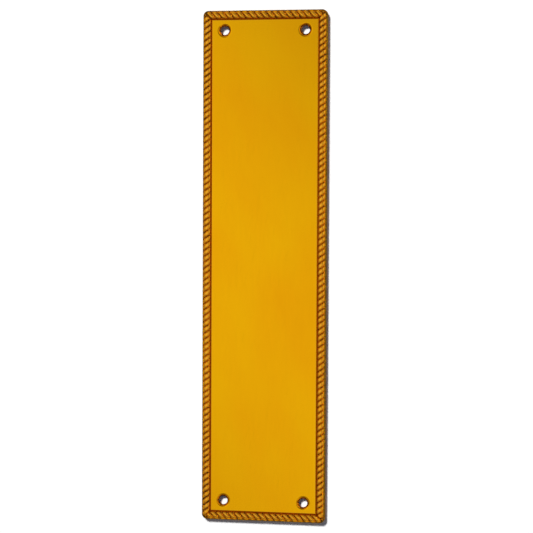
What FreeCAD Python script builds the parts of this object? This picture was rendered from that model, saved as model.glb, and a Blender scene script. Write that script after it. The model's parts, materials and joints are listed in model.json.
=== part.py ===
import FreeCAD, Part
import math
import os

from FreeCAD import Vector

# Door finger plate pressed from one brass sheet: a flat panel inside a raised rope border, hollow behind.
# It lies face up with its back rim on z = 0, its length along Y and the origin at the centre of its back.
# Lengths are in millimetres and angles in degrees.

# Outline of the plate, its sheet and the height of its face above the door
PLATE_WIDTH = 73.0
PLATE_LENGTH = 298.0
CORNER_RADIUS = 3.0
SHEET = 1.0
FACE_HEIGHT = 3.0

# Rope border: leaning strands side by side, arched over the rope in flats, inside a plain bevelled rim
RIM_BEVEL = 0.4
ROPE_WIDTH = 4.4
ROPE_RISE = 1.3
ROPE_FLATS = 5
STRAND_PITCH = 3.5
STRAND_LEAN = 37.0
GROOVE_DEPTH = 0.35

# Quirk: the sunk line between the rope and the panel
QUIRK_DEPTH = 0.55
QUIRK_ROPE_SIDE = 0.35
QUIRK_PANEL_SIDE = 0.9

# Flat top of the hollow channel behind the rope
CHANNEL_FLAT = 1.4

# Dished screw holes
SCREW_SIDE_INSET = 12.75
SCREW_END_INSET = 11.5
SCREW_HOLE_DIAMETER = 5.0
DISH_DIAMETER = 7.2
DISH_DEPTH = 0.6

# How far a cutter reaches past the face that it cuts
OVERSHOOT = 1.0

# Insets from the plate's edge and heights above the door that follow from the sizes above
ROPE_CENTRE_INSET = RIM_BEVEL + ROPE_WIDTH / 2
ROPE_INNER_INSET = RIM_BEVEL + ROPE_WIDTH
QUIRK_INSET = ROPE_INNER_INSET + QUIRK_ROPE_SIDE
PANEL_INSET = QUIRK_INSET + QUIRK_PANEL_SIDE
QUIRK_HEIGHT = FACE_HEIGHT - QUIRK_DEPTH
GROOVE_RISE = ROPE_RISE - GROOVE_DEPTH
CHANNEL_HEIGHT = FACE_HEIGHT + GROOVE_RISE - SHEET
CUT_HEIGHT = FACE_HEIGHT + ROPE_RISE + OVERSHOOT


def solid_from(faces):
    """One solid, the right way out, from faces that meet edge to edge."""
    shell = Part.makeShell(faces)
    shell.sewShape()
    solid = Part.makeSolid(shell)
    if solid.Volume < 0:
        solid.reverse()
    return solid


def polygon_face(points):
    """The flat face inside a closed run of points."""
    return Part.Face(Part.makePolygon([*points, points[0]]))


def mitred_block(outline):
    """A block whose four sides follow (inset, height) points, with mitred corners."""
    loops = []
    for inset, height in outline:
        x = PLATE_WIDTH / 2 - inset
        y = PLATE_LENGTH / 2 - inset
        loops.append([Vector(i, j, height) for i, j in ((-x, -y), (x, -y), (x, y), (-x, y))])
    faces = [polygon_face(loops[0]), polygon_face(loops[-1])]
    for lower, upper in zip(loops, loops[1:]):
        for i in range(4):
            j = (i + 1) % 4
            faces.append(polygon_face([lower[i], lower[j], upper[j], upper[i]]))
    return solid_from(faces)


def rounded_prism(inset, height):
    """The plate's outline drawn in by an inset, its corners rounded about the same centres."""
    width = PLATE_WIDTH - 2 * inset
    length = PLATE_LENGTH - 2 * inset
    box = Part.makeBox(width, length, height, Vector(-width / 2, -length / 2, 0))
    upright = [edge for edge in box.Edges if edge.BoundBox.ZLength > height / 2]
    return box.makeFillet(CORNER_RADIUS - inset, upright)


def front_block():
    """The front of the plate as a solid block: bevelled rim, flat seat for the rope, quirk and panel."""
    outline = [
        (0, 0),
        (0, FACE_HEIGHT),
        (ROPE_INNER_INSET, FACE_HEIGHT),
        (QUIRK_INSET, QUIRK_HEIGHT),
        (PANEL_INSET, FACE_HEIGHT),
    ]
    prism = rounded_prism(0, FACE_HEIGHT)
    top_edges = [edge for edge in prism.Edges if edge.BoundBox.ZMin > FACE_HEIGHT / 2]
    return mitred_block(outline).common(prism.makeChamfer(RIM_BEVEL, top_edges))


def hollow():
    """The open back of the pressing: the panel's recess and the channel behind the rope."""
    outline = [
        (SHEET, 0),
        (SHEET, FACE_HEIGHT - SHEET),
        (ROPE_CENTRE_INSET - CHANNEL_FLAT / 2, CHANNEL_HEIGHT),
        (ROPE_CENTRE_INSET + CHANNEL_FLAT / 2, CHANNEL_HEIGHT),
        (QUIRK_INSET, QUIRK_HEIGHT - SHEET),
        (PANEL_INSET, FACE_HEIGHT - SHEET),
    ]
    return mitred_block(outline).common(rounded_prism(SHEET, CUT_HEIGHT))


def screw_holes():
    """The cutters for the screw holes, each with a dish for the screw's head at the panel's face."""
    shank_radius = SCREW_HOLE_DIAMETER / 2
    shank = Part.makeCylinder(shank_radius, CUT_HEIGHT)
    dish_foot = Vector(0, 0, FACE_HEIGHT - DISH_DEPTH)
    hole = shank.fuse(Part.makeCone(shank_radius, DISH_DIAMETER / 2, DISH_DEPTH, dish_foot))
    x = PLATE_WIDTH / 2 - SCREW_SIDE_INSET
    y = PLATE_LENGTH / 2 - SCREW_END_INSET
    return [hole.translated(Vector(i, j, 0)) for i, j in ((-x, -y), (x, -y), (x, y), (-x, y))]


def rope_arch():
    """The points of a half-round arch over the rope, from foot to foot, as (across, up) in equal turns."""
    half_width = ROPE_WIDTH / 2
    radius = (half_width**2 + ROPE_RISE**2) / (2 * ROPE_RISE)
    half_turn = math.asin(half_width / radius)
    angles = [half_turn * (2 * i / ROPE_FLATS - 1) for i in range(ROPE_FLATS + 1)]
    return [(radius * math.sin(a), radius * (math.cos(a) - math.cos(half_turn))) for a in angles]


def strand_rows(start, pitch):
    """The control points of one strand: a row for each point of the arch, from groove to groove."""
    lean = math.tan(math.radians(STRAND_LEAN))
    groove = GROOVE_RISE / ROPE_RISE
    swell = [groove, 2 - groove, groove]
    return [
        [Vector(x, start + j * pitch / 2 + x * lean, FACE_HEIGHT + up * swell[j]) for j in range(3)]
        for x, up in rope_arch()
    ]


def flat_face(row, next_row):
    """One flat of a strand: straight across the rope and rounded along it."""
    surface = Part.BSplineSurface()
    surface.buildFromPolesMultsKnots([row, next_row], [2, 2], [3, 3], [0, 1], [0, 1], False, False, 1, 2)
    return surface.toShape()


def mitre_wedge(length):
    """Everything over one side of the plate between its two mitres."""
    reach = ROPE_WIDTH
    corners = [
        Vector(-reach, -length / 2 - reach, 0),
        Vector(reach, -length / 2 + reach, 0),
        Vector(reach, length / 2 - reach, 0),
        Vector(-reach, length / 2 + reach, 0),
    ]
    return polygon_face(corners).extrude(Vector(0, 0, CUT_HEIGHT))


def rope_side(length):
    """The rope of one side along Y, its outer flank at -X, mitred at the ends of its centre line."""
    count = round(length / STRAND_PITCH)
    pitch = length / count
    mitre_reach = ROPE_WIDTH / 2 * (1 + math.tan(math.radians(STRAND_LEAN)))
    spare = math.ceil(mitre_reach / pitch) + 1
    strands = [strand_rows(k * pitch - length / 2, pitch) for k in range(-spare, count + spare)]
    outer_foot = [*(rows[0][0] for rows in strands), strands[-1][0][-1]]
    inner_foot = [*(rows[-1][0] for rows in strands), strands[-1][-1][-1]]
    faces = [flat_face(*pair) for rows in strands for pair in zip(rows, rows[1:])]
    faces.append(polygon_face([row[0] for row in strands[0]]))
    faces.append(polygon_face([row[-1] for row in strands[-1]]))
    faces.append(polygon_face(outer_foot + inner_foot[::-1]))
    return solid_from(faces).common(mitre_wedge(length))


def rope_border():
    """The rope of all four sides. The twist runs on round the corners: each side is the last one turned."""
    corner_guard = rounded_prism(RIM_BEVEL, CUT_HEIGHT)
    long_side = rope_side(PLATE_LENGTH - 2 * ROPE_CENTRE_INSET)
    long_side.translate(Vector(ROPE_CENTRE_INSET - PLATE_WIDTH / 2, 0, 0))
    short_side = rope_side(PLATE_WIDTH - 2 * ROPE_CENTRE_INSET)
    short_side.translate(Vector(ROPE_CENTRE_INSET - PLATE_LENGTH / 2, 0, 0))
    turned = [(long_side, 0), (short_side, -90), (long_side, 180), (short_side, 90)]
    return [side.rotated(Vector(), Vector(0, 0, 1), turn).common(corner_guard) for side, turn in turned]


def finger_plate():
    """The whole pressing with its screw holes."""
    sheet = front_block().cut([hollow(), *screw_holes()])
    return sheet.fuse(rope_border())


os.makedirs("parts", exist_ok=True)
plate = finger_plate()
plate.exportStep("parts/finger_plate.step")
print(f"finger_plate: {len(plate.Solids)} solid, valid {plate.isValid()}, {plate.Volume:.1f} cubic mm")
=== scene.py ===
import itertools
import json
import math

import bpy
import numpy as np
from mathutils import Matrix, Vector
from mathutils.geometry import delaunay_2d_cdt


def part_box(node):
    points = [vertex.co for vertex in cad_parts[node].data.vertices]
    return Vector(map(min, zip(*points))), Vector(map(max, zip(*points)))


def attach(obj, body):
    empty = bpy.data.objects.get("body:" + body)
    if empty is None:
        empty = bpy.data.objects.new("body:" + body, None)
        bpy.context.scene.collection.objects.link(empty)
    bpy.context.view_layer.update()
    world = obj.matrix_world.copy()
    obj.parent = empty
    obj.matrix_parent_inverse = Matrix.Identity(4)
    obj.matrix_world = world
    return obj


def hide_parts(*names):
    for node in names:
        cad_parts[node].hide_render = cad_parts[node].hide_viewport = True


# Door finger plate: one brass pressing with a rope border, lying face up on a pale floor.
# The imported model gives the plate's outline and its screw holes.
# Lengths on the plate are in millimetres, lengths round it are in metres, and turns are in degrees.

MM = 0.001

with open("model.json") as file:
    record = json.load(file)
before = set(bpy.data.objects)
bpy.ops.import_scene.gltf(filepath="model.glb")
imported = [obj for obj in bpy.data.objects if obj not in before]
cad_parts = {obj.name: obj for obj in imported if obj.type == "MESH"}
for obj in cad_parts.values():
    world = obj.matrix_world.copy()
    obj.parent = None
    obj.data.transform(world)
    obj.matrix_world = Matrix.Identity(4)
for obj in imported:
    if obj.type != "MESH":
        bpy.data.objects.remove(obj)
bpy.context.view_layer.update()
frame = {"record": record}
low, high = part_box("finger_plate")
screws = next(mount for mount in frame["record"]["mounts"] if mount["name"] == "screw_holes")

# Outline of the plate, its sheet and the height of its face
WIDTH = (high.x - low.x) / MM
LENGTH = (high.y - low.y) / MM
CREST = (high.z - low.z) / MM
CORNER_RADIUS = 3.0
SHEET = 1.0
FACE = 3.0

# Rope border inside a narrow rim: its flanks, its strands, and its grooves, at most a share of its height
RIM = 0.4
ROPE_WIDTH = 4.4
HALF_ROPE = ROPE_WIDTH / 2
ROPE_CENTRE = RIM + HALF_ROPE
ROPE_INNER = RIM + ROPE_WIDTH
ROPE_RISE = CREST - FACE
OUTER_FLATNESS = 3.0
INNER_FLATNESS = 5.0
STRAND_FLATNESS = 2.8
PITCH = 3.5
LEAN = math.tan(math.radians(37))
GROOVE_DEPTH = 0.52
GROOVE_SHARE = 0.8
MITRE_EASE = 0.8

# Corners of the rope: the slope up from the rim and the gentler facet across the corner
CORNER_SLOPE = math.tan(math.radians(62))
FACET_SLOPE = math.tan(math.radians(30))

# Sunk line between the rope and the panel
QUIRK_START = ROPE_INNER - 0.05
QUIRK = ROPE_INNER + 0.2
QUIRK_DEPTH = 0.5
PANEL = QUIRK + 0.6

# Hollow channel behind the rope
CHANNEL_OUTER = 1.9
CHANNEL_INNER = 3.3
CHANNEL_HEIGHT = CREST - GROOVE_DEPTH - SHEET

# Dished screw holes
HOLE_RADIUS = screws["dims"]["hole_r_mm"]
HOLE_X = screws["dims"]["spacing_x_mm"] / 2
HOLE_Y = screws["dims"]["spacing_y_mm"] / 2
HOLES = [(-HOLE_X, -HOLE_Y), (HOLE_X, -HOLE_Y), (HOLE_X, HOLE_Y), (-HOLE_X, HOLE_Y)]
DISH_RADIUS = 4.1
DISH_DEPTH = 0.8
DISH_CURVE = 1.6

# Mesh round the plate: insets of the lines of points, and the spacing along them
EDGE_SPACING = 1.0
RIM_LINES = (0.06, 0.16, 0.28, RIM)
QUIRK_SPACING = 0.6
QUIRK_LINES = (4.86, 4.93, QUIRK, 5.1, 5.2, 5.3, 5.4, 5.5, PANEL, 5.75, 6.0)
BACK_SPACING = 4.0
BACK_LINES = (CHANNEL_OUTER, CHANNEL_INNER, QUIRK, PANEL)
CORNER_TURNS = 12

# Mesh of the rope: lines along it, closer at its flanks, and places across each strand, clear of the mitres
ROPE_LINES = 17
ROPE_CROWDING = 0.93
STRAND_PLACES = (0, 0.05, 0.12, 0.21, 0.31, 0.42, 0.5, 0.58, 0.69, 0.79, 0.88, 0.95)
SPARE_STRANDS = 3
MITRE_GAP = 0.12

# Mesh of the corners: insets of the points along each mitre, and a square grid clear of the rim
MITRE_START = 1.35
MITRE_END = PANEL - 0.02
MITRE_STEP = 0.22
CORNER_PATCH = 5.2
CORNER_STEP = 0.2
CORNER_GAP = 0.08

# Mesh of the panel and the dishes
PANEL_MARGIN = 9
PANEL_COLUMNS = 13
PANEL_ROWS = 61
HOLE_MARGIN = 6
HOLE_POINTS = 64
HOLE_SLACK = 0.999
DISH_LINES = (2.65, 2.85, 3.1, 3.4, 3.7, DISH_RADIUS, 4.3, 4.6)

# Triangles fill the whole plan, points this close become one, and the shading breaks at this angle
WHOLE_PLAN = 0
SAME_POINT = 1e-5
SHARP_ANGLE = 50

# Where the tarnish and painted shade lie: their strength, and the steps over which they come or go. The
# grooves hold tarnish and painted shade, darker towards the ends, and the corner facets, the dishes and the
# outer wall carry painted shade
STRAND_TARNISH_AND_SHADE = 0.12
GROOVE_TARNISH_AND_SHADE = 0.63
GROOVE_REACH = (0.15, 0.5)
END_PAINTED_SHADE = 0.19
END_REACH = (0.4, 0.95)
MITRE_TARNISH = 0.75
CORNER_PAINTED_SHADE = 1.2
CORNER_REACH = (1.6, 2.3)
DISH_PAINTED_SHADE = 1.1
DISH_REACH = (0.02, 0.4)
FOOT_PAINTED_SHADE_TONE = 0.5

# Where the grime and painted shade lie: painted shade along the rim and the rope's inner foot, grime and
# painted shade in the sunk line
RIM_PAINTED_SHADE = 1.3
RIM_REACH = (RIM, 0.85)
INNER_PAINTED_SHADE = 0.4
INNER_REACH = (4.1, 4.6)
QUIRK_GRIME_AND_SHADE = 0.3
QUIRK_REACH = (0.15, 0.5)
FOOT_PAINTED_SHADE_FILM = 0.6

# Where the brass is painted bright: worn brass and painted highlight on the crests of the strands, and a
# painted highlight along the brim of the panel
STRAND_CREST = (0.65, 0.95)
ROPE_CREST = (0.5, 0.85)
BRIM_HIGHLIGHT = 0.6
BRIM_OUTER = (PANEL - 0.2, PANEL)
BRIM_INNER = (PANEL, PANEL + 0.3)

# Colours: brass from clean, through redder tones of painted shade, to tarnished; worn brass with painted
# highlight; grime with painted shade; and the tint of what the brass reflects edge-on
TARNISH_AND_SHADE = [
    (0.0, (0.795, 0.384, 0.002)),
    (0.25, (0.81, 0.275, 0.002)),
    (0.5, (0.68, 0.165, 0.002)),
    (0.8, (0.28, 0.070, 0.002)),
    (1.0, (0.045, 0.022, 0.003)),
]
WORN_AND_HIGHLIGHT = (0.88, 0.40, 0.025)
GRIME_SHADE_TONE = (0.16, 0.09, 0.008)
EDGE_TINT = (1.0, 0.80, 0.45)

# Streaks in the metal: each kind's width, length, turn and detail
HAIRLINES = (0.22, 12, 2, 2)
SCRATCHES = (0.3, 18, -14, 1)
SMEARS = (16, 30, 20, 3)
CLOUDS = (45, 90, 25, 1)
GRAIN = (0.8, 0.8, 0, 4)

# What the streaks do: the levels between which each one rises, and how far it rises
SCRATCH_LEVELS = (0.68, 0.76, 1.0)
TARNISH_AND_SHADE_GRAIN = (0.2, 0.65, 1.15)
GRIME_SHADE_GRAIN = (0.2, 0.6, 1.1)
WEAR_HIGHLIGHT_GRAIN = (0.25, 0.6, 1.0)
SMEAR_FILM = (0.35, 0.75, 0.035)
CLOUD_FILM = (0.35, 0.65, 0.07)
BACK_FILM = (0.2, 0.8, 0.5)
HAIRLINE_ROUGHNESS = (0.3, 0.7, 0.05)

# Roughness of clean polished brass, and what each mark adds to it
POLISH_ROUGHNESS = 0.12
TARNISH_AND_SHADE_ROUGHNESS = 0.3
GRIME_SHADE_ROUGHNESS = 0.2
SCRATCH_ROUGHNESS = 0.06
BACK_ROUGHNESS = 0.16

# Fine relief: the height of the hairlines, and the depth of scratches and pits against it
RELIEF = 0.003
SCRATCH_DEPTH = 1.5
PIT_DEPTH = 4.0

# Colour sockets of a mix node, by number because sockets of other kinds have the same names
MIX_SHARE = 0
MIX_UNDER = 6
MIX_OVER = 7
MIX_RESULT = 2

# Floor
FLOOR_SIZE = 6
FLOOR_HEIGHT = -0.00002
FLOOR_COLOUR = (0.97, 0.97, 0.97)
FLOOR_ROUGHNESS = 0.9

# Sky: its tint, the level all round, and the glow of the walls, which shifts to the right and to two corners
SKY_TINT = (0.95, 0.98, 1.06)
SIDE_LIGHT = 0.04
WALL_LIGHT = 0.52
WALL_HEIGHT = 0.8
WALL_RIGHT = 0.2
WALL_CORNER = -0.8
# Soft lights: each one's place and spread across and along the plate, on a unit sky, its turn and strength
SOFT_LIGHTS = [
    (-0.20, -0.035, 0.82, 0.225, -48, 0.94),
    (-0.60, 0.02, 0.22, 0.30, 0, 0.45),
    (-0.28, 0.66, 0.30, 0.17, 0, 0.45),
    (0.60, 0.14, 0.27, 0.34, 0, 1.10),
    (0.56, 0.58, 0.14, 0.14, 0, 2.40),
    (-0.62, -0.58, 0.22, 0.22, 0, 0.34),
    (0.60, -0.60, 0.20, 0.20, 0, 0.35),
]

# Lamps: direction, angle, strength and colour
KEY = ((-0.34, 0.60, 0.70), 12, 4.35, (1.0, 0.99, 0.97))
FILL = ((0, 0, 1), 120, 0.3, (0.85, 0.96, 1.25))

# Camera: sensor and lens in millimetres, place and turns
SENSOR = 36
LENS = 110.85
FARTHEST = 20
EYE = (0.1642, 0.0412, 0.9440)
EYE_TURNS = (-2.396, 9.818, 0.275)


def smooth(start, end, value):
    """A smooth step from 0 at its start to 1 at its end."""
    t = np.clip((value - start) / (end - start), 0, 1)
    return t * t * (3 - 2 * t)


def insets(x, y):
    """Insets of points from the long edges, the short edges and the rounded outline."""
    dx = WIDTH / 2 - np.abs(x)
    dy = LENGTH / 2 - np.abs(y)
    in_corner = (dx < CORNER_RADIUS) & (dy < CORNER_RADIUS)
    from_arc = CORNER_RADIUS - np.hypot(CORNER_RADIUS - dx, CORNER_RADIUS - dy)
    return dx, dy, np.where(in_corner, from_arc, np.minimum(dx, dy))


def strand_pitch(length):
    """The pitch that fits a whole number of strands between the mitres of a side, and that run."""
    run = length - 2 * ROPE_CENTRE
    return run / round(run / PITCH), run


def strand_phase(x, y, dx, dy):
    """Where points lie across a strand, from 0 at one groove to 1 at the next."""
    long_pitch, long_run = strand_pitch(LENGTH)
    short_pitch, short_run = strand_pitch(WIDTH)
    across_long = dx - ROPE_CENTRE
    across_short = dy - ROPE_CENTRE
    along_long = -np.sign(x) * y
    along_short = np.sign(y) * x
    long_phase = (along_long + long_run / 2 - across_long * LEAN) / long_pitch
    short_phase = (along_short + short_run / 2 - across_short * LEAN) / short_pitch
    phase = np.where(dx < dy, long_phase, short_phase)
    return phase - np.floor(phase)


def rope_arch(inset):
    """Height of the rope's rounded back above its seat."""
    across = np.clip(np.abs(inset - ROPE_CENTRE) / HALF_ROPE, 0, 1)
    flatness = np.where(inset < ROPE_CENTRE, OUTER_FLATNESS, INNER_FLATNESS)
    return ROPE_RISE * (1 - across**flatness)


def strand_back(phase):
    """Height of a strand's round back, from 0 in the grooves beside it to 1 along its crest."""
    return 1 - np.abs(2 * phase - 1) ** STRAND_FLATNESS


def dish(x, y):
    """Depth of the dishes round the screw holes below the panel."""
    depth = np.zeros_like(x)
    for hole_x, hole_y in HOLES:
        reach = np.hypot(x - hole_x, y - hole_y)
        fall = np.clip((DISH_RADIUS - reach) / (DISH_RADIUS - HOLE_RADIUS), 0, 1)
        depth = np.maximum(depth, DISH_DEPTH * fall**DISH_CURVE)
    return depth


def front(x, y):
    """Height of the plate's front at points, with the tarnish and painted shade, the grime and painted
    shade, and the worn brass and painted highlight there.
    """
    dx, dy, edge = insets(x, y)
    inset = np.minimum(dx, dy)
    from_mitre = np.abs(dx - dy) / math.sqrt(2)
    from_corner = (dx + dy) / math.sqrt(2) - CORNER_RADIUS * (math.sqrt(2) - 1)
    in_rope = (edge >= RIM) & (inset <= ROPE_INNER)
    phase = strand_phase(x, y, dx, dy)
    strand = strand_back(phase) * smooth(0, MITRE_EASE, from_mitre)
    arch = rope_arch(inset)
    dished = dish(x, y)

    rope = arch - np.minimum(GROOVE_DEPTH, GROOVE_SHARE * arch) * (1 - strand)
    rope = np.minimum(rope, np.maximum(edge - RIM, 0) * CORNER_SLOPE)
    rope = np.minimum(rope, np.maximum(from_corner - RIM, 0) * FACET_SLOPE)
    rim = np.sqrt(np.maximum(RIM**2 - np.maximum(RIM - edge, 0) ** 2, 0)) - RIM
    roll = np.clip((PANEL - inset) / (PANEL - QUIRK), 0, 1) ** 2
    quirk = -QUIRK_DEPTH * smooth(QUIRK_START, QUIRK, inset) * roll
    height = FACE + np.where(in_rope, rope, np.where(edge < RIM, rim, quirk - dished))

    # Painted shade: the grooves darken towards the ends of the plate
    near_end = smooth(*END_REACH, 2 * np.abs(y) / LENGTH)
    # Tarnish and painted shade in the grooves of the rope
    groove = 1 - smooth(*GROOVE_REACH, np.minimum(phase, 1 - phase))
    in_groove = (STRAND_TARNISH_AND_SHADE + (GROOVE_TARNISH_AND_SHADE + END_PAINTED_SHADE * near_end) * groove) * in_rope
    at_mitre = MITRE_TARNISH * (1 - smooth(0, MITRE_EASE, from_mitre)) * (inset < QUIRK)
    # Painted shade on the corner facets
    at_corner = CORNER_PAINTED_SHADE * (1 - smooth(*CORNER_REACH, from_corner))
    # Painted shade on the dishes round the screw holes
    at_hole = DISH_PAINTED_SHADE * smooth(*DISH_REACH, dished)
    tarnish_and_shade = np.maximum.reduce([in_groove, at_mitre, at_corner, at_hole])

    # Painted shade along the rim and the rope's inner foot; grime and painted shade in the sunk line
    on_rim = RIM_PAINTED_SHADE * (1 - smooth(*RIM_REACH, edge))
    at_inner_foot = INNER_PAINTED_SHADE * smooth(*INNER_REACH, inset) * in_rope
    in_quirk = QUIRK_GRIME_AND_SHADE * (1 - smooth(*QUIRK_REACH, np.abs(inset - QUIRK)))
    grime_and_shade = np.maximum.reduce([on_rim, at_inner_foot, in_quirk])

    # Worn brass and painted highlight on the crests of the strands; painted highlight along the brim of the
    # panel
    on_crest = in_rope * smooth(*STRAND_CREST, strand) * smooth(*ROPE_CREST, arch / ROPE_RISE)
    on_brim = BRIM_HIGHLIGHT * smooth(*BRIM_OUTER, inset) * (1 - smooth(*BRIM_INNER, inset))
    wear_and_highlight = np.maximum(on_crest, on_brim)
    return height, tarnish_and_shade, grime_and_shade, wear_and_highlight


def back(x, y):
    """Height of the plate's back at points: the panel's recess and the channel behind the rope."""
    dx, dy, _ = insets(x, y)
    lines = [SHEET, *BACK_LINES]
    recess = FACE - SHEET
    heights = [recess, CHANNEL_HEIGHT, CHANNEL_HEIGHT, FACE - QUIRK_DEPTH - SHEET, recess]
    return np.interp(np.minimum(dx, dy), lines, heights)


def ring(inset, spacing):
    """Points round the plate's outline drawn in by an inset, counterclockwise, rounded or mitred."""
    radius = max(CORNER_RADIUS - inset, 0)
    centre_x = WIDTH / 2 - inset - radius
    centre_y = LENGTH / 2 - inset - radius
    steps = CORNER_TURNS if radius else 0
    points = []
    for quarter, (sx, sy) in enumerate(((1, 1), (-1, 1), (-1, -1), (1, -1))):
        for step in range(steps + 1):
            turn = math.pi / 2 * (quarter + (step / steps if steps else 0))
            points.append((sx * centre_x + radius * math.cos(turn), sy * centre_y + radius * math.sin(turn)))
        if quarter % 2 == 0:
            run = 2 * centre_x
            end = (-sx * centre_x, sy * (centre_y + radius))
        else:
            run = 2 * centre_y
            end = (sx * (centre_x + radius), -sy * centre_y)
        count = max(round(run / spacing), 1)
        start = points[-1]
        for step in range(1, count):
            points.append(tuple(a + (b - a) * step / count for a, b in zip(start, end)))
    return points


def clear_of_holes(point, reach):
    """Whether a point is further than a reach from every screw hole."""
    return all(math.dist(point, hole) > reach for hole in HOLES)


def circle(hole, radius):
    """Points round a screw hole, counterclockwise."""
    turns = [2 * math.pi * i / HOLE_POINTS for i in range(HOLE_POINTS)]
    return [(hole[0] + radius * math.cos(a), hole[1] + radius * math.sin(a)) for a in turns]


def rope_points():
    """Points over the rope of all four sides, in lines that lean with the strands."""
    angles = np.linspace(-1, 1, ROPE_LINES) * math.pi / 2 * ROPE_CROWDING
    across = HALF_ROPE * np.sin(angles) / math.sin(math.pi / 2 * ROPE_CROWDING)
    points = []
    for length, turns in ((LENGTH, (0, 2)), (WIDTH, (1, 3))):
        pitch, run = strand_pitch(length)
        other = WIDTH + LENGTH - length
        strands = np.arange(-SPARE_STRANDS, round(run / pitch) + SPARE_STRANDS)
        starts = np.add.outer(strands, STRAND_PLACES).ravel() * pitch - run / 2
        offset, start = np.meshgrid(across, starts)
        along = start + offset * LEAN
        inside = np.abs(along) < run / 2 - offset - MITRE_GAP
        for turn in turns:
            x = offset[inside] + ROPE_CENTRE - other / 2
            y = along[inside]
            for _ in range(turn):
                x, y = y, -x
            points.append(np.column_stack([x, y]))
    points = np.vstack(points)
    dx, dy, _ = insets(points[:, 0], points[:, 1])
    return points[np.maximum(dx, dy) > CORNER_PATCH].tolist()


def corner_points():
    """Points over the rope at the four corners, in a fine square grid."""
    steps = np.arange(CORNER_STEP / 2, CORNER_PATCH, CORNER_STEP)
    dx, dy = (grid.ravel() for grid in np.meshgrid(steps, steps))
    edge = insets(WIDTH / 2 - dx, LENGTH / 2 - dy)[2]
    on_rope = (edge > RIM + CORNER_GAP) & (np.minimum(dx, dy) < ROPE_INNER)
    keep = on_rope & (np.abs(dx - dy) > CORNER_STEP / 2)
    x = WIDTH / 2 - dx[keep]
    y = LENGTH / 2 - dy[keep]
    corners = [np.column_stack([sx * x, sy * y]) for sx in (-1, 1) for sy in (-1, 1)]
    return np.vstack(corners).tolist()


class Sheet:
    """A surface over the plan of the plate, made of triangles through given points and lines."""

    def __init__(self):
        self.points = []
        self.edges = []

    def loop(self, points):
        """Adds a closed line of points, and gives their numbers."""
        first = len(self.points)
        self.points += points
        self.edges += [(first + i, first + (i + 1) % len(points)) for i in range(len(points))]
        return range(first, first + len(points))

    def run(self, points):
        """Adds an open line of points."""
        first = len(self.points)
        self.points += points
        self.edges += [(first + i, first + i + 1) for i in range(len(points) - 1)]

    def triangles(self):
        """The plan's points, the triangles between them outside the holes, and each given point's number."""
        spots, _, faces, sources, _, _ = delaunay_2d_cdt(self.points, self.edges, [], WHOLE_PLAN, SAME_POINT)
        points = np.array([tuple(spot) for spot in spots])
        faces = np.array(faces)
        place = {old: new for new, olds in enumerate(sources) for old in olds}
        centres = points[faces].mean(axis=1)
        keep = np.ones(len(faces), bool)
        for hole_x, hole_y in HOLES:
            keep &= np.hypot(centres[:, 0] - hole_x, centres[:, 1] - hole_y) > HOLE_RADIUS * HOLE_SLACK
        return points, faces[keep], place


def front_sheet():
    """The plan of the front, with its outline and its hole edges."""
    sheet = Sheet()
    outline = sheet.loop(ring(0, EDGE_SPACING))
    for inset in RIM_LINES:
        sheet.loop(ring(inset, EDGE_SPACING))
    sheet.points += rope_points()
    sheet.points += corner_points()
    mitre = np.arange(MITRE_START, MITRE_END, MITRE_STEP)
    for sx, sy in itertools.product((-1, 1), (-1, 1)):
        sheet.run([(sx * (WIDTH / 2 - inset), sy * (LENGTH / 2 - inset)) for inset in mitre])
    for inset in QUIRK_LINES:
        sheet.loop(ring(inset, QUIRK_SPACING))
    panel_x = np.linspace(-1, 1, PANEL_COLUMNS) * (WIDTH / 2 - PANEL_MARGIN)
    panel_y = np.linspace(-1, 1, PANEL_ROWS) * (LENGTH / 2 - PANEL_MARGIN)
    panel = itertools.product(panel_x.tolist(), panel_y.tolist())
    sheet.points += [point for point in panel if clear_of_holes(point, HOLE_MARGIN)]
    holes = [sheet.loop(circle(hole, HOLE_RADIUS)) for hole in HOLES]
    for hole in HOLES:
        for radius in DISH_LINES:
            sheet.loop(circle(hole, radius))
    return sheet, outline, holes


def back_sheet():
    """The plan of the back inside the rim, with its edge and its hole edges."""
    sheet = Sheet()
    outline = sheet.loop(ring(SHEET, EDGE_SPACING))
    for inset in BACK_LINES:
        sheet.loop(ring(inset, BACK_SPACING))
    holes = [sheet.loop(circle(hole, HOLE_RADIUS)) for hole in HOLES]
    return sheet, outline, holes


def strip(lower, upper):
    """Faces between two rings with as many points."""
    count = len(lower)
    return [(lower[i], lower[(i + 1) % count], upper[(i + 1) % count], upper[i]) for i in range(count)]


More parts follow.
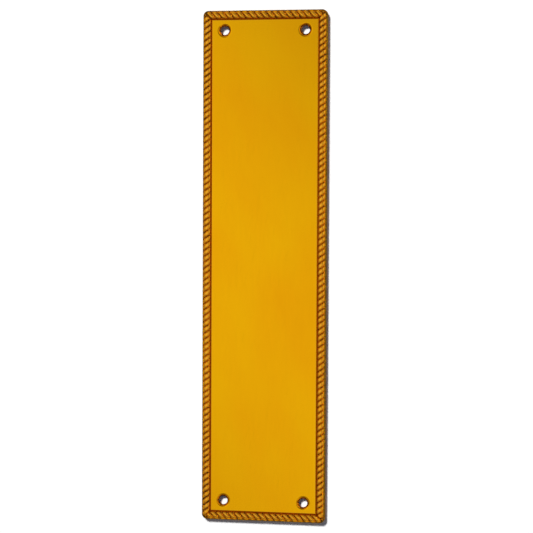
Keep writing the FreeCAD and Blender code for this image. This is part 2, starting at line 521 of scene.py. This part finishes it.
def plate_mesh():
    """The whole pressing as one closed mesh, with its tarnish and painted shade, grime and painted shade,
    wear and painted highlight, and raw back on its points.
    """
    sheet, outline, holes = front_sheet()
    plan, triangles, place = sheet.triangles()
    height, tarnish_and_shade, grime_and_shade, wear_and_highlight = front(plan[:, 0], plan[:, 1])
    faces = [tuple(t) for t in triangles.tolist()]
    points = [np.column_stack([plan, height])]
    wall_top = [place[i] for i in outline]
    hole_tops = [[place[i] for i in hole] for hole in holes]

    sheet, outline, holes = back_sheet()
    back_plan, triangles, place = sheet.triangles()
    first = len(plan)
    faces += [tuple(t[::-1]) for t in (triangles + first).tolist()]
    points.append(np.column_stack([back_plan, back(back_plan[:, 0], back_plan[:, 1])]))
    inner_top = [first + place[i] for i in outline]
    hole_feet = [[first + place[i] for i in hole] for hole in holes]

    first += len(back_plan)
    outer_foot = list(range(first, first + len(wall_top)))
    points.append(np.column_stack([plan[wall_top], np.zeros(len(wall_top))]))
    inner_foot = list(range(first + len(wall_top), first + 2 * len(wall_top)))
    inner_plan = np.array(ring(SHEET, EDGE_SPACING))
    points.append(np.column_stack([inner_plan, np.zeros(len(inner_plan))]))

    faces += strip(outer_foot, wall_top)
    faces += strip(inner_foot, outer_foot)
    faces += strip(inner_top, inner_foot)
    for top, foot in zip(hole_tops, hole_feet):
        faces += strip(top, foot)

    points = np.vstack(points)
    mesh = bpy.data.meshes.new("plate")
    mesh.from_pydata((points * MM).tolist(), [], faces)
    # The foot of the outer wall is painted darker: painted shade
    kinds = (("tarnish_and_shade", tarnish_and_shade, FOOT_PAINTED_SHADE_TONE), ("grime_and_shade", grime_and_shade, FOOT_PAINTED_SHADE_FILM), ("wear_and_highlight", wear_and_highlight, 0))
    for name, values, foot in kinds:
        marks = np.zeros(len(points))
        marks[: len(plan)] = values
        marks[outer_foot] = foot
        mesh.attributes.new(name, "FLOAT", "POINT").data.foreach_set("value", marks)
    raw = np.ones(len(points))
    raw[: len(plan)] = 0
    raw[outer_foot] = 0
    mesh.attributes.new("raw", "FLOAT", "POINT").data.foreach_set("value", raw)
    mesh.polygons.foreach_set("use_smooth", [True] * len(mesh.polygons))
    mesh.set_sharp_from_angle(angle=math.radians(SHARP_ANGLE))
    mesh.validate()
    return mesh


def feed(tree, socket, value):
    """Sets an input to a value, or links it where the value is another node's output."""
    if isinstance(value, bpy.types.NodeSocket):
        tree.links.new(value, socket)
    else:
        socket.default_value = value


def make_node(tree, kind, **inputs):
    """A shader node with the inputs that are named."""
    made = tree.nodes.new(kind)
    for name, value in inputs.items():
        feed(tree, made.inputs[name.replace("_", " ")], value)
    return made


def make_math(tree, operation, *values):
    """The output of a math node on numbers or other outputs."""
    made = tree.nodes.new("ShaderNodeMath")
    made.operation = operation
    for socket, value in zip(made.inputs, values):
        feed(tree, socket, value)
    return made.outputs["Value"]


def stops(ramp, count):
    """The stops of a colour ramp, as many as asked for."""
    while len(ramp.elements) < count:
        ramp.elements.new(1.0)
    return ramp.elements


def mark(tree, name):
    """The value that the mesh carries under a name."""
    made = tree.nodes.new("ShaderNodeAttribute")
    made.attribute_name = name
    return made.outputs["Fac"]


def streaks(tree, place, width, length, turn, detail):
    """Noise drawn out to lines of a width and a length, turned about the plate's normal."""
    mapped = make_node(tree, "ShaderNodeMapping", Vector=place)
    mapped.vector_type = "TEXTURE"
    mapped.inputs["Rotation"].default_value = (0, 0, math.radians(turn))
    mapped.inputs["Scale"].default_value = (width, length, width)
    noise = make_node(tree, "ShaderNodeTexNoise", Vector=mapped.outputs["Vector"], Scale=1.0, Detail=detail)
    return noise.outputs["Fac"]


def between(tree, value, start, end, top):
    """A value spread from 0 at one level to a top at another, held at both ends."""
    spread = make_node(tree, "ShaderNodeMapRange", Value=value, From_Min=start, From_Max=end, To_Max=top)
    return spread.outputs["Result"]


def brass():
    """Polished yellow brass: fine streaks and clouds, tarnish and painted shade, grime and painted shade,
    worn brass and painted highlight, and a dull back.
    """
    material = bpy.data.materials.new("brass")
    material.use_nodes = True
    tree = material.node_tree
    shader = tree.nodes["Principled BSDF"]
    shader.inputs["Metallic"].default_value = 1.0
    shader.inputs["Specular Tint"].default_value = (*EDGE_TINT, 1)
    way = tree.nodes.new("ShaderNodeTexCoord")
    place = make_node(tree, "ShaderNodeVectorMath", Vector=way.outputs["Object"])
    place.operation = "SCALE"
    place.inputs["Scale"].default_value = 1 / MM
    place = place.outputs["Vector"]

    hairlines = streaks(tree, place, *HAIRLINES)
    scratches = between(tree, streaks(tree, place, *SCRATCHES), *SCRATCH_LEVELS)
    smears = streaks(tree, place, *SMEARS)
    clouds = streaks(tree, place, *CLOUDS)
    grain = streaks(tree, place, *GRAIN)

    # Tarnish and painted shade in the hollows, with the film of smears, clouds and the dull back
    hollow = make_math(tree, "MULTIPLY", mark(tree, "tarnish_and_shade"), between(tree, grain, *TARNISH_AND_SHADE_GRAIN))
    film = make_math(tree, "ADD", between(tree, smears, *SMEAR_FILM), between(tree, clouds, *CLOUD_FILM))
    dull = make_math(tree, "MULTIPLY", mark(tree, "raw"), between(tree, smears, *BACK_FILM))
    tarnish_and_shade = make_math(tree, "ADD", make_math(tree, "ADD", hollow, film), dull)
    tone = make_node(tree, "ShaderNodeValToRGB", Fac=tarnish_and_shade)
    for stop, (level, colour) in zip(stops(tone.color_ramp, len(TARNISH_AND_SHADE)), TARNISH_AND_SHADE):
        stop.position = level
        stop.color = (*colour, 1)
    # Grime with painted shade
    soiled_and_shaded = make_math(tree, "MULTIPLY", mark(tree, "grime_and_shade"), between(tree, grain, *GRIME_SHADE_GRAIN))
    # Worn brass with painted highlight
    worn_and_lit = make_math(tree, "MULTIPLY", mark(tree, "wear_and_highlight"), between(tree, grain, *WEAR_HIGHLIGHT_GRAIN))
    colour = tone.outputs["Color"]
    for share, over in ((soiled_and_shaded, GRIME_SHADE_TONE), (worn_and_lit, WORN_AND_HIGHLIGHT)):
        blend = tree.nodes.new("ShaderNodeMix")
        blend.data_type = "RGBA"
        feed(tree, blend.inputs[MIX_SHARE], share)
        feed(tree, blend.inputs[MIX_UNDER], colour)
        feed(tree, blend.inputs[MIX_OVER], (*over, 1))
        colour = blend.outputs[MIX_RESULT]
    tree.links.new(colour, shader.inputs["Base Color"])

    rough = make_math(tree, "ADD", make_math(tree, "MULTIPLY", tarnish_and_shade, TARNISH_AND_SHADE_ROUGHNESS), POLISH_ROUGHNESS)
    rough = make_math(tree, "ADD", rough, make_math(tree, "MULTIPLY", soiled_and_shaded, GRIME_SHADE_ROUGHNESS))
    rough = make_math(tree, "ADD", rough, between(tree, hairlines, *HAIRLINE_ROUGHNESS))
    rough = make_math(tree, "ADD", rough, make_math(tree, "MULTIPLY", scratches, SCRATCH_ROUGHNESS))
    rough = make_math(tree, "ADD", rough, make_math(tree, "MULTIPLY", mark(tree, "raw"), BACK_ROUGHNESS))
    tree.links.new(rough, shader.inputs["Roughness"])

    height = make_math(tree, "SUBTRACT", hairlines, make_math(tree, "MULTIPLY", scratches, SCRATCH_DEPTH))
    pits = make_math(tree, "MULTIPLY", grain, make_math(tree, "MULTIPLY", tarnish_and_shade, PIT_DEPTH))
    height = make_math(tree, "SUBTRACT", height, pits)
    bump = make_node(tree, "ShaderNodeBump", Height=height, Strength=1.0, Distance=RELIEF * MM)
    tree.links.new(bump.outputs["Normal"], shader.inputs["Normal"])
    return material


def pale_floor():
    """A plain pale floor under the plate."""
    bpy.ops.mesh.primitive_plane_add(size=FLOOR_SIZE, location=(0, 0, FLOOR_HEIGHT))
    floor = bpy.context.object
    floor.name = "floor"
    material = bpy.data.materials.new("paper")
    material.use_nodes = True
    shader = material.node_tree.nodes["Principled BSDF"]
    shader.inputs["Base Color"].default_value = (*FLOOR_COLOUR, 1)
    shader.inputs["Roughness"].default_value = FLOOR_ROUGHNESS
    floor.data.materials.append(material)


def soft_light(tree, along, across, up, wide, tall, turn):
    """A soft patch of light in the sky, from 1 at its middle to 0 far from it."""
    cos = math.cos(math.radians(turn))
    sin = math.sin(math.radians(turn))
    sideways = make_math(tree, "MULTIPLY_ADD", along["X"], cos / wide, -(across * cos + up * sin) / wide)
    sideways = make_math(tree, "MULTIPLY_ADD", along["Y"], sin / wide, sideways)
    endways = make_math(tree, "MULTIPLY_ADD", along["X"], -sin / tall, (across * sin - up * cos) / tall)
    endways = make_math(tree, "MULTIPLY_ADD", along["Y"], cos / tall, endways)
    far = make_math(tree, "MULTIPLY_ADD", endways, endways, make_math(tree, "MULTIPLY", sideways, sideways))
    return make_math(tree, "EXPONENT", make_math(tree, "MULTIPLY", far, -1.0))


def sky():
    """Soft lights overhead and pale walls, for the metal to reflect. They don't light the floor."""
    world = bpy.data.worlds.new("studio")
    bpy.context.scene.world = world
    world.use_nodes = True
    world.cycles_visibility.diffuse = False
    tree = world.node_tree
    way = tree.nodes.new("ShaderNodeTexCoord")
    along = make_node(tree, "ShaderNodeSeparateXYZ", Vector=way.outputs["Generated"]).outputs
    rise = make_math(tree, "MULTIPLY", along["Z"], along["Z"])
    fade = make_math(tree, "EXPONENT", make_math(tree, "MULTIPLY", rise, -1 / WALL_HEIGHT**2))
    walls = make_math(tree, "MULTIPLY", fade, WALL_LIGHT)
    shift = make_math(tree, "MULTIPLY_ADD", along["X"], WALL_RIGHT, 1.0)
    corner = make_math(tree, "MULTIPLY", along["X"], along["Y"])
    shift = make_math(tree, "MULTIPLY_ADD", corner, WALL_CORNER, shift)
    level = make_math(tree, "MULTIPLY_ADD", walls, shift, SIDE_LIGHT)
    for *patch, strength in SOFT_LIGHTS:
        level = make_math(tree, "MULTIPLY_ADD", soft_light(tree, along, *patch), strength, level)
    background = tree.nodes["Background"]
    background.inputs["Color"].default_value = (*SKY_TINT, 1)
    tree.links.new(level, background.inputs["Strength"])


def lamp(name, direction, angle, strength, colour):
    """A far lamp that lights the floor alone: the metal has the sky to reflect."""
    light = bpy.data.lights.new(name, "SUN")
    light.angle = math.radians(angle)
    light.energy = strength
    light.color = colour
    made = bpy.data.objects.new(name, light)
    made.rotation_euler = Vector(direction).to_track_quat("Z", "Y").to_euler()
    made.visible_glossy = False
    bpy.context.scene.collection.objects.link(made)


def camera():
    """The camera where the photograph was taken from."""
    lens = bpy.data.cameras.new("camera")
    lens.sensor_width = SENSOR
    lens.lens = LENS
    lens.clip_end = FARTHEST
    eye = bpy.data.objects.new("camera", lens)
    eye.location = EYE
    eye.rotation_euler = [math.radians(turn) for turn in EYE_TURNS]
    bpy.context.scene.collection.objects.link(eye)
    bpy.context.scene.camera = eye


plate = bpy.data.objects.new("plate", plate_mesh())
bpy.context.scene.collection.objects.link(plate)
plate.data.materials.append(brass())
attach(plate, "root")
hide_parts("finger_plate")

pale_floor()
sky()
lamp("key", *KEY)
lamp("fill", *FILL)
camera()
bpy.context.scene.view_settings.view_transform = "Standard"
